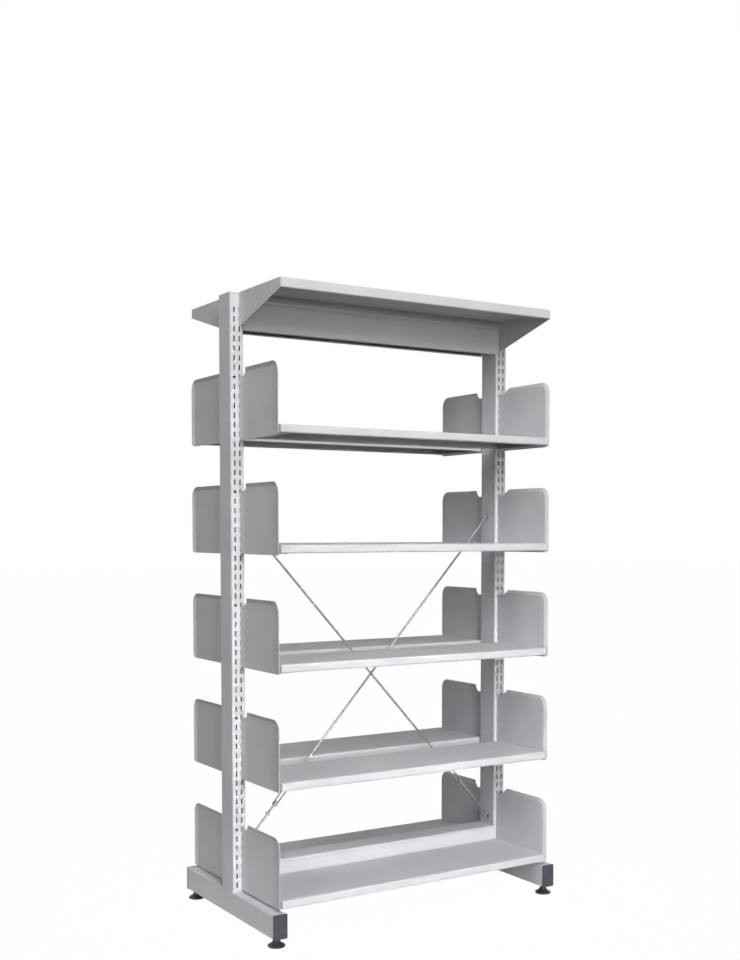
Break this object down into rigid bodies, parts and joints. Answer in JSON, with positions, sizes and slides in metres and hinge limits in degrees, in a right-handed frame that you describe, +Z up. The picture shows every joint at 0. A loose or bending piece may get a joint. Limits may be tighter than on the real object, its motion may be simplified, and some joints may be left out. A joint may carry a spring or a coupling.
{
  "type": "double sided library shelving",
  "caption": "Free-standing double sided steel library shelving: slotted uprights on a footed base, hook-on shelves with flared side panels, canopies on top and crossed brace rods.",
  "frame": {"origin": "On the floor under the middle of the unit", "axes": "X along the shelves, -Y towards the pictured front side, +Z up"},
  "size_m": [0.92, 0.5366, 1.678],
  "materials": {
    "painted_steel": "light grey powder coat, satin",
    "dark_plastic": "dark grey moulded plastic",
    "black_rubber": "black, matt",
    "plated_steel": "zinc plated steel rod"
  },
  "bodies": {
    "frame": {"upright_left": "painted_steel", "upright_cap_left": "painted_steel", "base_beam_left": "painted_steel", "base_cap_left_front": "dark_plastic", "base_cap_left_back": "dark_plastic", "upright_right": "painted_steel", "upright_cap_right": "painted_steel", "base_beam_right": "painted_steel", "base_cap_right_front": "dark_plastic", "base_cap_right_back": "dark_plastic", "top_spreader": "painted_steel", "bottom_spreader": "painted_steel", "brace_rod_upper_left": "plated_steel", "brace_rod_lower_left": "plated_steel", "lock_nut_left": "plated_steel", "brace_rod_upper_right": "plated_steel", "brace_rod_lower_right": "plated_steel", "lock_nut_right": "plated_steel"},
    "shelf_unit_front_1": {"shelf_front_1": "painted_steel", "side_panel_front_1_left": "painted_steel", "side_panel_front_1_right": "painted_steel"},
    "shelf_unit_front_2": {"shelf_front_2": "painted_steel", "side_panel_front_2_left": "painted_steel", "side_panel_front_2_right": "painted_steel"},
    "shelf_unit_front_3": {"shelf_front_3": "painted_steel", "side_panel_front_3_left": "painted_steel", "side_panel_front_3_right": "painted_steel"},
    "shelf_unit_front_4": {"shelf_front_4": "painted_steel", "side_panel_front_4_left": "painted_steel", "side_panel_front_4_right": "painted_steel"},
    "shelf_unit_front_5": {"shelf_front_5": "painted_steel", "side_panel_front_5_left": "painted_steel", "side_panel_front_5_right": "painted_steel"},
    "canopy_unit_front": {"canopy_front": "painted_steel", "canopy_bracket_front_left": "painted_steel", "canopy_bracket_front_right": "painted_steel"},
    "shelf_unit_back_1": {"shelf_back_1": "painted_steel", "side_panel_back_1_left": "painted_steel", "side_panel_back_1_right": "painted_steel"},
    "shelf_unit_back_2": {"shelf_back_2": "painted_steel", "side_panel_back_2_left": "painted_steel", "side_panel_back_2_right": "painted_steel"},
    "shelf_unit_back_3": {"shelf_back_3": "painted_steel", "side_panel_back_3_left": "painted_steel", "side_panel_back_3_right": "painted_steel"},
    "shelf_unit_back_4": {"shelf_back_4": "painted_steel", "side_panel_back_4_left": "painted_steel", "side_panel_back_4_right": "painted_steel"},
    "shelf_unit_back_5": {"shelf_back_5": "painted_steel", "side_panel_back_5_left": "painted_steel", "side_panel_back_5_right": "painted_steel"},
    "canopy_unit_back": {"canopy_back": "painted_steel", "canopy_bracket_back_left": "painted_steel", "canopy_bracket_back_right": "painted_steel"},
    "foot_left_front": {"foot_left_front": "black_rubber"},
    "foot_left_back": {"foot_left_back": "black_rubber"},
    "foot_right_front": {"foot_right_front": "black_rubber"},
    "foot_right_back": {"foot_right_back": "black_rubber"},
    "turnbuckle_left": {"turnbuckle_left": "plated_steel"},
    "turnbuckle_right": {"turnbuckle_right": "plated_steel"}
  },
  "joints": [
    {"name": "shelf_front_1_lift", "type": "slide", "parent": "frame", "child": "shelf_unit_front_1", "axis": [0, 0, 1], "range_m": [0, 0.0085]},
    {"name": "shelf_front_2_lift", "type": "slide", "parent": "frame", "child": "shelf_unit_front_2", "axis": [0, 0, 1], "range_m": [0, 0.0085]},
    {"name": "shelf_front_3_lift", "type": "slide", "parent": "frame", "child": "shelf_unit_front_3", "axis": [0, 0, 1], "range_m": [0, 0.0085]},
    {"name": "shelf_front_4_lift", "type": "slide", "parent": "frame", "child": "shelf_unit_front_4", "axis": [0, 0, 1], "range_m": [0, 0.0085]},
    {"name": "shelf_front_5_lift", "type": "slide", "parent": "frame", "child": "shelf_unit_front_5", "axis": [0, 0, 1], "range_m": [0, 0.0085]},
    {"name": "canopy_front_lift", "type": "slide", "parent": "frame", "child": "canopy_unit_front", "axis": [0, 0, 1], "range_m": [0, 0.0085]},
    {"name": "shelf_back_1_lift", "type": "slide", "parent": "frame", "child": "shelf_unit_back_1", "axis": [0, 0, 1], "range_m": [0, 0.0085]},
    {"name": "shelf_back_2_lift", "type": "slide", "parent": "frame", "child": "shelf_unit_back_2", "axis": [0, 0, 1], "range_m": [0, 0.0085]},
    {"name": "shelf_back_3_lift", "type": "slide", "parent": "frame", "child": "shelf_unit_back_3", "axis": [0, 0, 1], "range_m": [0, 0.0085]},
    {"name": "shelf_back_4_lift", "type": "slide", "parent": "frame", "child": "shelf_unit_back_4", "axis": [0, 0, 1], "range_m": [0, 0.0085]},
    {"name": "shelf_back_5_lift", "type": "slide", "parent": "frame", "child": "shelf_unit_back_5", "axis": [0, 0, 1], "range_m": [0, 0.0085]},
    {"name": "canopy_back_lift", "type": "slide", "parent": "frame", "child": "canopy_unit_back", "axis": [0, 0, 1], "range_m": [0, 0.0085]},
    {"name": "foot_left_front_screw", "type": "slide", "parent": "frame", "child": "foot_left_front", "axis": [0, 0, -1], "range_m": [0, 0.012]},
    {"name": "foot_left_back_screw", "type": "slide", "parent": "frame", "child": "foot_left_back", "axis": [0, 0, -1], "range_m": [0, 0.012]},
    {"name": "foot_right_front_screw", "type": "slide", "parent": "frame", "child": "foot_right_front", "axis": [0, 0, -1], "range_m": [0, 0.012]},
    {"name": "foot_right_back_screw", "type": "slide", "parent": "frame", "child": "foot_right_back", "axis": [0, 0, -1], "range_m": [0, 0.012]},
    {"name": "turnbuckle_left_turn", "type": "hinge", "parent": "frame", "child": "turnbuckle_left", "pos_m": [0.29138, -0.005, 0.32336], "axis": [-0.6748, 0, 0.738], "continuous": true},
    {"name": "turnbuckle_right_turn", "type": "hinge", "parent": "frame", "child": "turnbuckle_right", "pos_m": [-0.29138, 0.005, 0.32336], "axis": [0.6748, 0, 0.738], "continuous": true}
  ]
}
